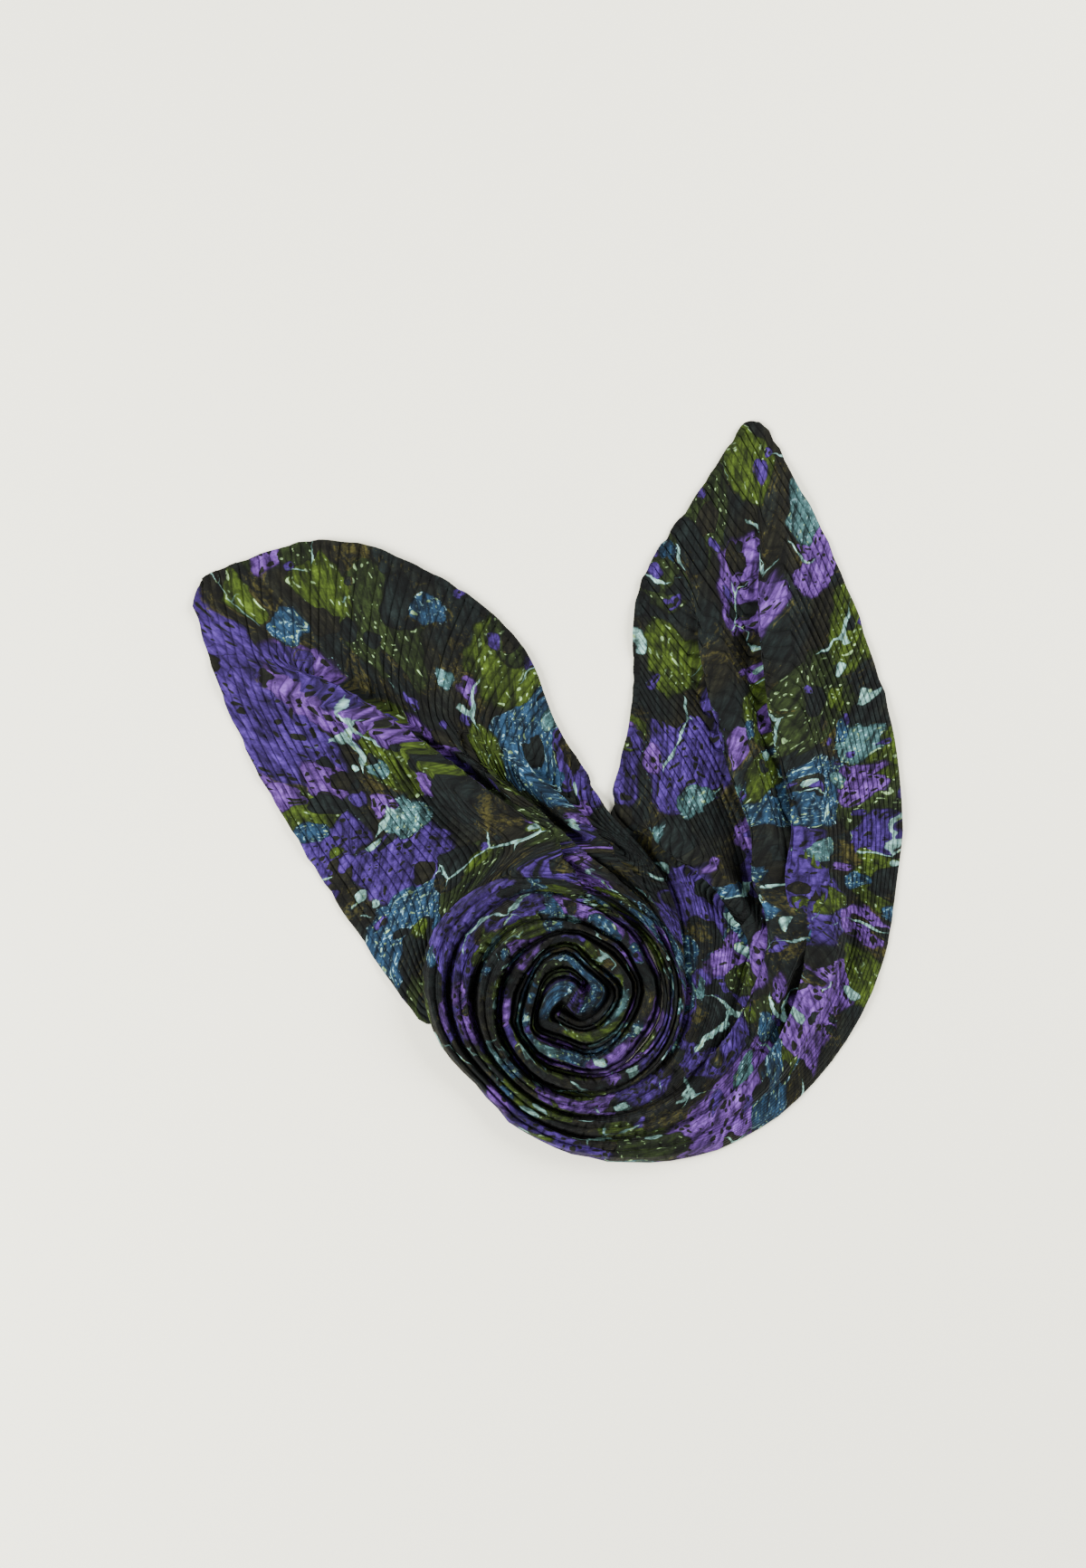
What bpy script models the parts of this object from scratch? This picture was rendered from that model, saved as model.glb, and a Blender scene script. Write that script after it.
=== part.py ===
"""Pleated scarf lying flat: one long strip of cloth whose two ends meet in a swirl.

Metres, +Z up. The scarf rests on Z = 0 and the origin is the middle of its outline.
Both arms of the strip wind into the eye of the swirl. Side A of the strip faces the notch
between the two lobes, and side B is the outside of the right arm and of the left lobe.
"""

import math

import bmesh
import bpy
import numpy as np

# Driving dimensions, in metres
LOBE_SPAN = 0.520          # reference length of the lobe tables
SWIRL_RADIUS = 0.0754      # eye of the swirl to the line between the arms, on the right
SWIRL_PITCH = 0.0325       # how far an arm moves in with a full turn
FOLD_HEIGHT = 0.026        # crest of the tallest folds above the cloth's low places
CREASE_HEIGHT = 0.0085     # rise of the highest lobe crease
CREASE_WIDTH = 0.026       # width of the soft side of a lobe crease
RESTING_RISE = 0.0004      # cloth that would rise less than this lies flat on the surface
CLOTH_WALL = 0.0010        # thickness of the pleated cloth
EYE_REACH = 0.0160         # centre of the swirl to each of the two places where a side turns back
BAND_GAP = 0.0022          # space between neighbouring windings, middle to middle
HEM_WIDTH = 0.0050         # width of the rolled hem at the two short ends
HEM_HEIGHT = 0.0016        # thickness of the rolled hem
HEM_CLEARANCE = 0.0004     # space between a hem and the cloth it finishes

# Counts
FOLDS = 3                  # accordion folds across the strip
FOLD_POINTS = 8            # cloth points in one fold
LOBE_STEPS = 2             # cloth rows from one section of a lobe to the next
NECK_STEPS = 3             # cloth rows from one section of the neck to the next
SWIRL_STEP = 24.0          # degrees between two rows in the swirl
HEM_SIDES = 6              # sides of a hem's section
HEM_START = 1              # cloth points at side A that a hem leaves free, where the arms meet
CREASE_POINTS = 40         # places along a crease line
CREASE_FADE_IN = 8.0       # places over which a crease rises at its first end
CREASE_FADE_OUT = 6.0      # places over which it sinks at its last end

# Shape of the folds
FOLD_ROUNDING = 0.32       # how far a crest swells sideways, 0 for a plain wave
SWIRL_TALL = 0.90          # fold height in the swirl as a share of FOLD_HEIGHT
FOLD_FALL = 2.5            # how fast the fold height falls from side A towards side B
ROUNDING_GAIN = 1.5        # how soon a rising fold gets its full sideways swell
CREASE_LOSS = 1.6          # how soon a rising fold takes the place of a crease
STEEP_SIDE = 0.18          # steep side of a crease as a share of its soft side

# Sections of the left lobe, from the end hem to the swirl. Each has five places: side A, three
# places across and side B, as shares of LOBE_SPAN right of the eye and beyond it. The last two
# columns are the fold heights at side A and side B, as shares of FOLD_HEIGHT.
LEFT_LOBE = [
    # a_x, a_y, p_x, p_y, q_x, q_y, s_x, s_y, b_x, b_y, tall_a, tall_b
    (0.024, 0.285, -0.060, 0.405, -0.160, 0.555, -0.345, 0.632, -0.541, 0.575, 0.05, 0.05),
    (0.038, 0.264, -0.090, 0.358, -0.190, 0.480, -0.350, 0.545, -0.520, 0.500, 0.06, 0.05),
    (0.052, 0.248, -0.095, 0.315, -0.200, 0.405, -0.345, 0.450, -0.485, 0.400, 0.08, 0.05),
    (0.067, 0.232, -0.065, 0.275, -0.170, 0.330, -0.300, 0.350, -0.435, 0.300, 0.12, 0.05),
    (0.086, 0.212, -0.015, 0.245, -0.120, 0.268, -0.240, 0.258, -0.375, 0.200, 0.18, 0.05),
    (0.108, 0.182, 0.030, 0.222, -0.065, 0.228, -0.180, 0.180, -0.310, 0.100, 0.26, 0.04),
]

# Neck of the left arm, where it slips under the ruffle. A turn is a direction in degrees,
# clockwise from the right, and beyond is how far a side lies outside the line between the
# arms, as a share of SWIRL_RADIUS.
LEFT_NECK = [
    # a_turn, a_beyond, b_turn, b_beyond, tall_a, tall_b
    (-51.0, 0.290, -188.0, 0.476, 0.34, 0.03),
    (-40.0, 0.174, -172.0, 0.250, 0.42, 0.02),
    (-28.0, 0.074, -138.0, 0.090, 0.48, 0.02),
    (-14.0, 0.010, -90.0, 0.010, 0.42, 0.02),
    (0.0, 0.000, -42.0, 0.024, 0.38, 0.06),
    (22.5, 0.000, 3.0, 0.010, 0.42, 0.34),
    (45.0, 0.000, 37.0, 0.006, 0.62, 0.56),
    (67.5, 0.000, 64.0, 0.004, 0.82, 0.80),
    (90.0, 0.000, 90.0, 0.000, 0.88, 0.88),
]

# Sections of the right lobe, from the end hem to where it turns under the swirl
RIGHT_LOBE = [
    # a_x, a_y, p_x, p_y, q_x, q_y, s_x, s_y, b_x, b_y, tall_a, tall_b
    (0.044, 0.265, 0.078, 0.412, 0.085, 0.562, 0.161, 0.691, 0.246, 0.816, 0.05, 0.05),
    (0.054, 0.253, 0.102, 0.370, 0.132, 0.500, 0.212, 0.610, 0.290, 0.735, 0.07, 0.04),
    (0.066, 0.241, 0.128, 0.335, 0.180, 0.440, 0.260, 0.530, 0.342, 0.635, 0.10, 0.02),
    (0.080, 0.226, 0.150, 0.295, 0.222, 0.375, 0.308, 0.440, 0.392, 0.510, 0.15, 0.00),
    (0.096, 0.208, 0.170, 0.255, 0.250, 0.305, 0.340, 0.345, 0.430, 0.385, 0.20, 0.00),
    (0.115, 0.186, 0.190, 0.210, 0.272, 0.235, 0.358, 0.248, 0.444, 0.255, 0.27, 0.00),
    (0.131, 0.151, 0.204, 0.160, 0.280, 0.163, 0.358, 0.158, 0.434, 0.145, 0.34, 0.00),
    (0.143, 0.108, 0.210, 0.106, 0.278, 0.096, 0.348, 0.076, 0.416, 0.050, 0.40, 0.00),
]

# The right arm round the swirl and then, as the ruffle, over the neck of the left arm: the
# direction of side A and how far it lies outside the line between the arms, the direction and
# reach of side B, with lengths as shares of SWIRL_RADIUS, the lift over what lies under it and
# the fold heights, as shares of FOLD_HEIGHT.
RIGHT_TURN = [
    # a_turn, a_beyond, b_turn, b_reach, lift, tall_a, tall_b
    (-22.5, 0.060, 8.0, 2.56, 0.00, 0.46, 0.02),
    (0.0, 0.012, 24.0, 2.26, 0.00, 0.52, 0.06),
    (22.5, 0.000, 41.0, 2.00, 0.00, 0.58, 0.12),
    (45.0, 0.000, 60.0, 1.74, 0.00, 0.64, 0.18),
    (67.5, 0.000, 80.0, 1.53, 0.00, 0.70, 0.24),
    (90.0, 0.000, 100.0, 1.41, 0.00, 0.74, 0.28),
    (112.5, 0.000, 121.0, 1.31, 0.00, 0.78, 0.32),
    (135.0, 0.000, 142.0, 1.27, 0.06, 0.78, 0.36),
    (157.5, 0.000, 163.0, 1.38, 0.16, 0.76, 0.40),
    (180.0, 0.000, 184.0, 1.50, 0.16, 0.74, 0.44),
    (202.5, 0.000, 206.0, 1.56, 0.16, 0.74, 0.48),
    (225.0, 0.000, 228.0, 1.47, 0.16, 0.74, 0.52),
    (247.5, 0.000, 249.0, 1.30, 0.16, 0.78, 0.60),
    (270.0, 0.000, 271.0, 1.09, 0.18, 0.80, 0.68),
    (292.5, 0.000, 293.0, 0.92, 0.16, 0.84, 0.78),
]

# Creases of the lobes: four places along each one, as shares of LOBE_SPAN from the eye, the
# rise as a share of CREASE_HEIGHT, and the width of its soft side as a share of CREASE_WIDTH.
# The steep side is on the left of the way from the first place to the last.
CREASES = [
    # x0, y0, x1, y1, x2, y2, x3, y3, rise, width
    (-0.434, 0.479, -0.262, 0.381, -0.100, 0.281, 0.000, 0.194, 0.95, 1.00),
    (-0.262, 0.431, -0.100, 0.319, 0.000, 0.256, 0.068, 0.190, 1.00, 0.75),
    (-0.330, 0.535, -0.200, 0.470, -0.090, 0.390, -0.010, 0.290, 0.35, 0.70),
    (0.240, 0.731, 0.272, 0.410, 0.300, 0.256, 0.304, 0.040, 0.80, 0.90),
    (0.150, 0.581, 0.192, 0.400, 0.245, 0.240, 0.285, 0.110, 0.60, 0.80),
    (0.105, 0.256, 0.160, 0.185, 0.215, 0.125, 0.245, 0.030, 0.75, 0.60),
]

COLOURS = {
    # base colour, roughness and metallic value
    "pleated_panel": ((0.110, 0.075, 0.230, 1.0), 0.82, 0.0),
    "left_end_hem": ((0.060, 0.060, 0.110, 1.0), 0.80, 0.0),
    "right_end_hem": ((0.060, 0.060, 0.110, 1.0), 0.80, 0.0),
}


def clear_scene():
    """Start from a scene with no objects."""
    for old in list(bpy.data.objects):
        bpy.data.objects.remove(old, do_unlink=True)


def polar(turn, reach):
    """Place at a direction (degrees, clockwise from the right) and a reach from the eye."""
    angle = math.radians(turn)
    return (reach * math.cos(angle), -reach * math.sin(angle))


def spiral_reach(turn):
    """Reach of the line between the arms, which moves in by SWIRL_PITCH with each full turn."""
    return SWIRL_RADIUS - SWIRL_PITCH * turn / 360.0


def polar_section(a_turn, a_reach, b_turn, b_reach):
    """Five places across a section that sweeps evenly from side A to side B."""
    places = []
    for share in (0.0, 0.25, 0.5, 0.75, 1.0):
        turn = a_turn + share * (b_turn - a_turn)
        reach = a_reach + share * (b_reach - a_reach)
        places.extend(polar(turn, reach))
    return places


def lobe_rows(table):
    """Sections of a lobe in metres from the eye, with lift and fold heights."""
    rows = []
    for *places, tall_a, tall_b in table:
        rows.append([LOBE_SPAN * place for place in places] + [0.0, tall_a, tall_b])
    return rows


def straight_section(a_place, b_place):
    """Five places across a straight section."""
    a_place, b_place = np.array(a_place), np.array(b_place)
    return [v for share in (0.0, 0.25, 0.5, 0.75, 1.0)
            for v in a_place + share * (b_place - a_place)]


def inner_turn():
    """Turn of the left arm at which its side B has come in to EYE_REACH."""
    return 360.0 * (SWIRL_RADIUS - EYE_REACH) / SWIRL_PITCH - 180.0


def even_turns(first, last):
    """Directions after first, up to last, about SWIRL_STEP apart."""
    count = max(2, int(round((last - first) / SWIRL_STEP)))
    return np.linspace(first, last, count + 1)[1:]


def eye_places(first):
    """Rows that swing through half a turn in the eye: the place of the outer side, which
    follows the line between the arms, and of the inner side, which turns back on the spot."""
    places = []
    for turn in even_turns(first, first + 180.0):
        share = (turn - first) / 180.0
        outer = polar(turn, spiral_reach(turn) - BAND_GAP / 2.0)
        pivot = np.array(polar(first, EYE_REACH))
        inner = pivot + np.array(polar(first + 180.0 * share, BAND_GAP / 2.0))
        places.append((outer, inner))
    return places


def left_rows():
    """Sections of the left arm, from the end hem to the eye."""
    rows = lobe_rows(LEFT_LOBE)
    gap = BAND_GAP / 2.0
    for a_turn, a_beyond, b_turn, b_beyond, tall_a, tall_b in LEFT_NECK:
        a_reach = spiral_reach(a_turn) - gap + a_beyond * SWIRL_RADIUS
        b_reach = spiral_reach(b_turn + 180.0) + gap + b_beyond * SWIRL_RADIUS
        rows.append(polar_section(a_turn, a_reach, b_turn, b_reach) + [0.0, tall_a, tall_b])
    for turn in even_turns(LEFT_NECK[-1][0], inner_turn()):
        a_reach = spiral_reach(turn) - gap
        b_reach = spiral_reach(turn + 180.0) + gap
        rows.append(polar_section(turn, a_reach, turn, b_reach) + [0.0, SWIRL_TALL, SWIRL_TALL])
    for outer, inner in eye_places(inner_turn()):
        rows.append(straight_section(outer, inner) + [0.0, SWIRL_TALL, SWIRL_TALL])
    return rows


def right_rows():
    """Sections of the right arm, from the end hem to the eye."""
    rows = lobe_rows(RIGHT_LOBE)
    gap = BAND_GAP / 2.0
    for a_turn, a_beyond, b_turn, b_reach, lift, tall_a, tall_b in RIGHT_TURN:
        a_reach = spiral_reach(a_turn) + gap + a_beyond * SWIRL_RADIUS
        rows.append(polar_section(a_turn, a_reach, b_turn, b_reach * SWIRL_RADIUS)
                    + [lift, tall_a, tall_b])
    last = inner_turn() + 180.0
    for turn in even_turns(RIGHT_TURN[-1][0], last):
        a_reach = spiral_reach(turn) + gap
        b_reach = spiral_reach(turn - 180.0) - gap
        rows.append(polar_section(turn, a_reach, turn, b_reach) + [0.0, SWIRL_TALL, SWIRL_TALL])
    for outer, inner in eye_places(inner_turn()):
        places = [-value for value in straight_section(inner, outer)]
        rows.append(places + [0.0, SWIRL_TALL, SWIRL_TALL])
    return rows


def smooth(values, places):
    """Catmull-Rom curve through the rows of values, read at fractional row numbers."""
    values = np.asarray(values, dtype=float)
    last = len(values) - 1
    padded = np.vstack([2 * values[0] - values[1], values, 2 * values[-1] - values[-2]])
    index = np.clip(np.floor(places).astype(int), 0, last - 1)
    part = (places - index).reshape((-1,) + (1,) * (values.ndim - 1))
    before, start, end, after = (padded[index + k] for k in range(4))
    return 0.5 * (2 * start + (end - before) * part
                  + (2 * before - 5 * start + 4 * end - after) * part ** 2
                  + (3 * start - 3 * end + after - before) * part ** 3)


def across(table, shares):
    """Places across each section: a smooth curve through its five places."""
    grid = np.empty((len(table), shares.shape[1], 2))
    for number, row in enumerate(table):
        grid[number] = smooth(row[:10].reshape(5, 2), shares[number] * 4.0)
    return grid


def crease_rise(points):
    """Rise of the cloth near the lobe creases: soft on one side, steep on the other."""
    rise = np.zeros(points.shape[:2])
    for row in CREASES:
        places = np.linspace(0.0, 3.0, CREASE_POINTS)
        line = smooth(LOBE_SPAN * np.array(row[:8]).reshape(4, 2), places)
        height = CREASE_HEIGHT * row[8]
        width = CREASE_WIDTH * row[9]
        step = np.gradient(line, axis=0)
        step /= np.linalg.norm(step, axis=1)[:, None]
        offset = points[:, :, None, :] - line
        nearest = np.argmin((offset ** 2).sum(axis=3), axis=2)
        chosen = np.take_along_axis(offset, nearest[:, :, None, None], axis=2)[:, :, 0]
        way = step[nearest]
        along = (chosen * way).sum(axis=2)
        side = way[..., 0] * chosen[..., 1] - way[..., 1] * chosen[..., 0]
        away = np.where(side > 0.0, side / (STEEP_SIDE * width), -side / width)
        rising = np.clip(nearest / CREASE_FADE_IN, 0.0, 1.0)
        sinking = np.clip((CREASE_POINTS - 1 - nearest) / CREASE_FADE_OUT, 0.0, 1.0)
        near = (0.5 + 0.5 * np.cos(np.pi * np.clip(away, 0.0, 1.0))) * (np.abs(along) < width)
        rise = np.maximum(rise, height * near * rising * sinking)
    return rise


def arm_grid(rows, steps):
    """Middle surface of one arm as an array of points, row by row from hem to eye. The first
    sections have the given numbers of rows each, and the rest have one."""
    steps = steps + [1] * (len(rows) - 1 - len(steps))
    places = [number + k / count for number, count in enumerate(steps) for k in range(count)]
    table = smooth(rows, np.array(places + [len(rows) - 1.0]))
    angle = np.linspace(0.0, 2.0 * np.pi * FOLDS, FOLDS * FOLD_POINTS + 1)
    even = np.tile(angle / angle[-1], (len(table), 1))
    lift, tall_a, tall_b = (table[:, k:k + 1] for k in (10, 11, 12))
    tall = np.clip(tall_b + (tall_a - tall_b) * (1.0 - even) ** FOLD_FALL, 0.0, 1.0)
    plain = across(table, even)
    along, over = np.gradient(plain, axis=0), np.gradient(plain, axis=1)
    square = np.abs(along[..., 0] * over[..., 1] - along[..., 1] * over[..., 0])
    square /= np.linalg.norm(along, axis=2) * np.linalg.norm(over, axis=2) + 1e-12
    swell = np.minimum(tall * ROUNDING_GAIN, 1.0) * square * FOLD_ROUNDING * np.sin(2.0 * angle)
    flat = across(table, even + swell / angle[-1])
    rise = FOLD_HEIGHT * (tall * (0.5 - 0.5 * np.cos(angle)) + np.maximum(lift, 0.0))
    creases = crease_rise(flat) * np.clip(1.0 - CREASE_LOSS * tall, 0.0, 1.0)
    clear = np.where(rise + creases < RESTING_RISE, 0.0, rise + creases)
    return np.dstack([flat, CLOTH_WALL / 2.0 + clear])


def strip_grid():
    """Middle surface of the whole strip, from the left hem through the eye to the right hem."""
    left_steps = [LOBE_STEPS] * len(LEFT_LOBE) + [NECK_STEPS] * (len(LEFT_NECK) - 1)
    left = arm_grid(left_rows(), left_steps)
    right = arm_grid(right_rows(), [LOBE_STEPS] * (len(RIGHT_LOBE) + 1))
    return np.vstack([left[:-1], right[::-1]])


def grid_object(name, grid, closed):
    """Mesh object with a face in each cell of the grid; closed joins its last column to its first."""
    rows, columns = grid.shape[:2]
    mesh = bmesh.new()
    points = [[mesh.verts.new(tuple(place)) for place in row] for row in grid]
    width = columns if closed else columns - 1
    for i in range(rows - 1):
        for j in range(width):
            k = (j + 1) % columns
            mesh.faces.new((points[i][j], points[i + 1][j], points[i + 1][k], points[i][k]))
    if closed:
        mesh.faces.new(points[0])
        mesh.faces.new(points[-1][::-1])
    bmesh.ops.recalc_face_normals(mesh, faces=mesh.faces)
    data = bpy.data.meshes.new(name)
    mesh.to_mesh(data)
    mesh.free()
    data.shade_smooth()
    return bpy.data.objects.new(name, data)


def finish_object(name, grid, closed, collection):
    """Make an object from a grid, link it and give it its own material."""
    item = grid_object(name, grid, closed)
    colour, roughness, metallic = COLOURS[item.name]
    material = bpy.data.materials.new(item.name + "_cloth")
    material.use_nodes = True
    shader = material.node_tree.nodes["Principled BSDF"]
    shader.inputs["Base Color"].default_value = colour
    shader.inputs["Roughness"].default_value = roughness
    shader.inputs["Metallic"].default_value = metallic
    item.data.materials.append(material)
    collection.objects.link(item)
    return item


def hem_grid(edge, inner):
    """A rolled hem of oval section just beyond a short end, from its edge and the row before."""
    way = np.gradient(edge, axis=0)
    outward = np.stack([way[:, 1], -way[:, 0], 0.0 * way[:, 0]], axis=1)
    outward /= np.linalg.norm(outward, axis=1)[:, None]
    if ((edge - inner) * outward).sum() < 0.0:
        outward = -outward
    angle = np.linspace(0.0, 2.0 * np.pi, HEM_SIDES, endpoint=False)
    reach = CLOTH_WALL / 2.0 + HEM_CLEARANCE + HEM_WIDTH / 2.0
    middle = edge + outward * reach
    middle[:, 2] = np.maximum(middle[:, 2], HEM_HEIGHT / 2.0)
    side = HEM_WIDTH / 2.0 * np.cos(angle)
    up = HEM_HEIGHT / 2.0 * np.sin(angle)
    upright = np.stack([0.0 * up, 0.0 * up, up], axis=1)
    return middle[:, None, :] + outward[:, None, :] * side[:, None] + upright


def main():
    """Build the scarf."""
    clear_scene()
    collection = bpy.data.collections.new("pleated_scarf")
    bpy.context.scene.collection.children.link(collection)
    panel = strip_grid()
    left_hem = hem_grid(panel[0, HEM_START:], panel[1, HEM_START:])
    right_hem = hem_grid(panel[-1, HEM_START:], panel[-2, HEM_START:])
    outline = np.vstack([grid[..., :2].reshape(-1, 2) for grid in (panel, left_hem, right_hem)])
    middle = (outline.min(axis=0) + outline.max(axis=0)) / 2.0
    for grid in (panel, left_hem, right_hem):
        grid[..., :2] -= middle
    item = finish_object("pleated_panel", panel, False, collection)
    wall = item.modifiers.new("cloth_wall", "SOLIDIFY")
    wall.thickness = CLOTH_WALL
    wall.offset = 0.0
    finish_object("left_end_hem", left_hem, True, collection)
    finish_object("right_end_hem", right_hem, True, collection)


if __name__ == "__main__":
    main()
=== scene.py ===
"""Pleated scarf laid flat in a two-armed swirl, with its print, pleats, folds and hems.

Metres, +Z up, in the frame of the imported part. The cloth is one strip: its left arm runs from
the left end hem into the eye of the swirl, and its right arm from the right end hem.
"""

import logging
import math
from dataclasses import dataclass, field
from enum import Enum

import bpy
import numpy as np
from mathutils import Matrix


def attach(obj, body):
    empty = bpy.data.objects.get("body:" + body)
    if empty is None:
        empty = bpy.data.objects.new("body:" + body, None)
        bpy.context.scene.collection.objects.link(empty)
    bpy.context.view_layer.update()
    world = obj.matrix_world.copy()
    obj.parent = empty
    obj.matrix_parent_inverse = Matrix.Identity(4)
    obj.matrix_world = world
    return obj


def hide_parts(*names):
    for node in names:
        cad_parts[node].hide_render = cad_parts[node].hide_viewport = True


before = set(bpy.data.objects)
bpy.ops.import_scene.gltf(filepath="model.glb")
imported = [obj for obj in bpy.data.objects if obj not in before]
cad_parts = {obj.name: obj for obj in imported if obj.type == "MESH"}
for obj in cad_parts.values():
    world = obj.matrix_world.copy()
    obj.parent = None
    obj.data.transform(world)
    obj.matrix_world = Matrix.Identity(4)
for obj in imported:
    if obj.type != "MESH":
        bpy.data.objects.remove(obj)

Array = np.ndarray
Tree = bpy.types.NodeTree
Socket = bpy.types.NodeSocket

LOG = logging.getLogger("pleated_scarf")
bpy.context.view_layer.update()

# The height that the camera frames, in pixels, and the size of one of its pixels in metres
PICTURE_HEIGHT = 1733
PIXEL = 0.00065

# The five places across a section, as shares, and a number that keeps a length above 0
QUARTERS = (0.0, 0.25, 0.5, 0.75, 1.0)
TINY = 1e-12

# Sections of the left lobe: five places across, as shares of the lobe span from the eye, then
# the fold heights at side A and side B as shares of the fold height.
LEFT_LOBE = [
    # a_x, a_y, p_x, p_y, q_x, q_y, s_x, s_y, b_x, b_y, tall_a, tall_b
    (0.024, 0.285, -0.060, 0.405, -0.160, 0.555, -0.345, 0.632, -0.541, 0.575, 0.05, 0.05),
    (0.038, 0.264, -0.090, 0.358, -0.190, 0.480, -0.350, 0.545, -0.520, 0.500, 0.06, 0.05),
    (0.052, 0.248, -0.095, 0.315, -0.200, 0.405, -0.345, 0.450, -0.485, 0.400, 0.08, 0.05),
    (0.067, 0.232, -0.065, 0.275, -0.170, 0.330, -0.300, 0.350, -0.435, 0.300, 0.12, 0.05),
    (0.086, 0.212, -0.015, 0.245, -0.120, 0.268, -0.240, 0.258, -0.375, 0.200, 0.18, 0.05),
    (0.108, 0.182, 0.030, 0.222, -0.065, 0.228, -0.180, 0.180, -0.310, 0.100, 0.26, 0.04),
]

# Neck of the left arm: directions in degrees clockwise from the right, and how far each side
# lies outside the line between the arms, as a share of the swirl radius.
LEFT_NECK = [
    # a_turn, a_beyond, b_turn, b_beyond, tall_a, tall_b
    (-51.0, 0.290, -188.0, 0.476, 0.34, 0.03),
    (-40.0, 0.174, -172.0, 0.250, 0.42, 0.02),
    (-28.0, 0.074, -138.0, 0.090, 0.48, 0.02),
    (-14.0, 0.010, -90.0, 0.010, 0.42, 0.02),
    (0.0, 0.000, -42.0, 0.024, 0.38, 0.06),
    (22.5, 0.000, 3.0, 0.010, 0.42, 0.34),
    (45.0, 0.000, 37.0, 0.006, 0.62, 0.56),
    (67.5, 0.000, 64.0, 0.004, 0.82, 0.80),
    (90.0, 0.000, 90.0, 0.000, 0.88, 0.88),
]

# Sections of the right lobe, with the same columns
RIGHT_LOBE = [
    # a_x, a_y, p_x, p_y, q_x, q_y, s_x, s_y, b_x, b_y, tall_a, tall_b
    (0.044, 0.265, 0.078, 0.412, 0.085, 0.562, 0.161, 0.691, 0.246, 0.816, 0.05, 0.05),
    (0.054, 0.253, 0.102, 0.370, 0.132, 0.500, 0.212, 0.610, 0.290, 0.735, 0.07, 0.04),
    (0.066, 0.241, 0.128, 0.335, 0.180, 0.440, 0.260, 0.530, 0.342, 0.635, 0.10, 0.02),
    (0.080, 0.226, 0.150, 0.295, 0.222, 0.375, 0.308, 0.440, 0.392, 0.510, 0.15, 0.00),
    (0.096, 0.208, 0.170, 0.255, 0.250, 0.305, 0.340, 0.345, 0.430, 0.385, 0.20, 0.00),
    (0.115, 0.186, 0.190, 0.210, 0.272, 0.235, 0.358, 0.248, 0.444, 0.255, 0.27, 0.00),
    (0.131, 0.151, 0.204, 0.160, 0.280, 0.163, 0.358, 0.158, 0.434, 0.145, 0.34, 0.00),
    (0.143, 0.108, 0.210, 0.106, 0.278, 0.096, 0.348, 0.076, 0.416, 0.050, 0.40, 0.00),
]

# The right arm round the swirl, then over the neck of the left arm as the ruffle
RIGHT_TURN = [
    # a_turn, a_beyond, b_turn, b_reach, lift, tall_a, tall_b
    (-22.5, 0.060, 8.0, 2.56, 0.00, 0.46, 0.02),
    (0.0, 0.012, 24.0, 2.26, 0.00, 0.52, 0.10),
    (22.5, 0.000, 41.0, 2.00, 0.00, 0.58, 0.20),
    (45.0, 0.000, 60.0, 1.74, 0.00, 0.64, 0.28),
    (67.5, 0.000, 80.0, 1.53, 0.00, 0.70, 0.34),
    (90.0, 0.000, 100.0, 1.41, 0.00, 0.74, 0.38),
    (112.5, 0.000, 121.0, 1.31, 0.00, 0.78, 0.40),
    (135.0, 0.000, 142.0, 1.27, 0.06, 0.78, 0.42),
    (157.5, 0.000, 163.0, 1.38, 0.16, 0.76, 0.40),
    (180.0, 0.000, 184.0, 1.50, 0.16, 0.74, 0.44),
    (202.5, 0.000, 206.0, 1.56, 0.16, 0.74, 0.48),
    (225.0, 0.000, 228.0, 1.47, 0.16, 0.74, 0.52),
    (247.5, 0.000, 249.0, 1.30, 0.16, 0.78, 0.60),
    (270.0, 0.000, 271.0, 1.09, 0.18, 0.80, 0.68),
    (292.5, 0.000, 293.0, 0.92, 0.16, 0.84, 0.78),
]

# Laps of the lobes, where the cloth nearer to side B lies over the cloth nearer to side A: four
# places along each, as shares of the lobe span from the eye, then the width and the overlap as
# shares of the strip's width, and the height of the lap's roll in metres.
LEFT_LAPS = [
    # x0, y0, x1, y1, x2, y2, x3, y3, width, overlap, height
    (-0.434, 0.479, -0.262, 0.385, -0.100, 0.262, 0.030, 0.150, 0.080, 0.085, 0.0140),
    (-0.290, 0.415, -0.160, 0.345, -0.042, 0.244, 0.060, 0.150, 0.060, 0.060, 0.0120),
    (-0.100, 0.350, -0.020, 0.275, 0.048, 0.201, 0.110, 0.130, 0.050, 0.045, 0.0090),
    (-0.042, 0.244, 0.045, 0.175, 0.105, 0.100, 0.130, 0.020, 0.055, 0.055, 0.0140),
    (-0.080, 0.215, 0.005, 0.155, 0.068, 0.095, 0.100, 0.020, 0.060, 0.060, 0.0140),
]
RIGHT_LAPS = [
    # x0, y0, x1, y1, x2, y2, x3, y3, width, overlap, height
    (0.240, 0.731, 0.272, 0.410, 0.306, 0.256, 0.304, 0.040, 0.075, 0.078, 0.0150),
    (0.150, 0.581, 0.192, 0.400, 0.245, 0.240, 0.285, 0.110, 0.060, 0.060, 0.0120),
    (0.075, 0.256, 0.150, 0.195, 0.215, 0.125, 0.245, 0.030, 0.060, 0.060, 0.0120),
    (0.306, 0.256, 0.318, 0.060, 0.280, -0.070, 0.130, -0.172, 0.085, 0.095, 0.0150),
    (0.245, 0.240, 0.272, 0.085, 0.232, -0.025, 0.120, -0.112, 0.085, 0.095, 0.0140),
]

# The folds across the strip, from side A to side B
FOLD_SHAPES = [
    # width in the lobes, width in the swirl, height in the swirl
    (1.0 / 3.0, 0.15, 0.50),
    (1.0 / 3.0, 0.70, 1.00),
    (1.0 / 3.0, 0.15, 0.50),
]

# Broad waves of the lobes
BILLOWS = [
    # length in metres, direction and start in radians
    (0.083, 0.5, 0.4),
    (0.061, 1.9, 2.2),
    (0.117, 2.7, 1.1),
]


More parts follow.
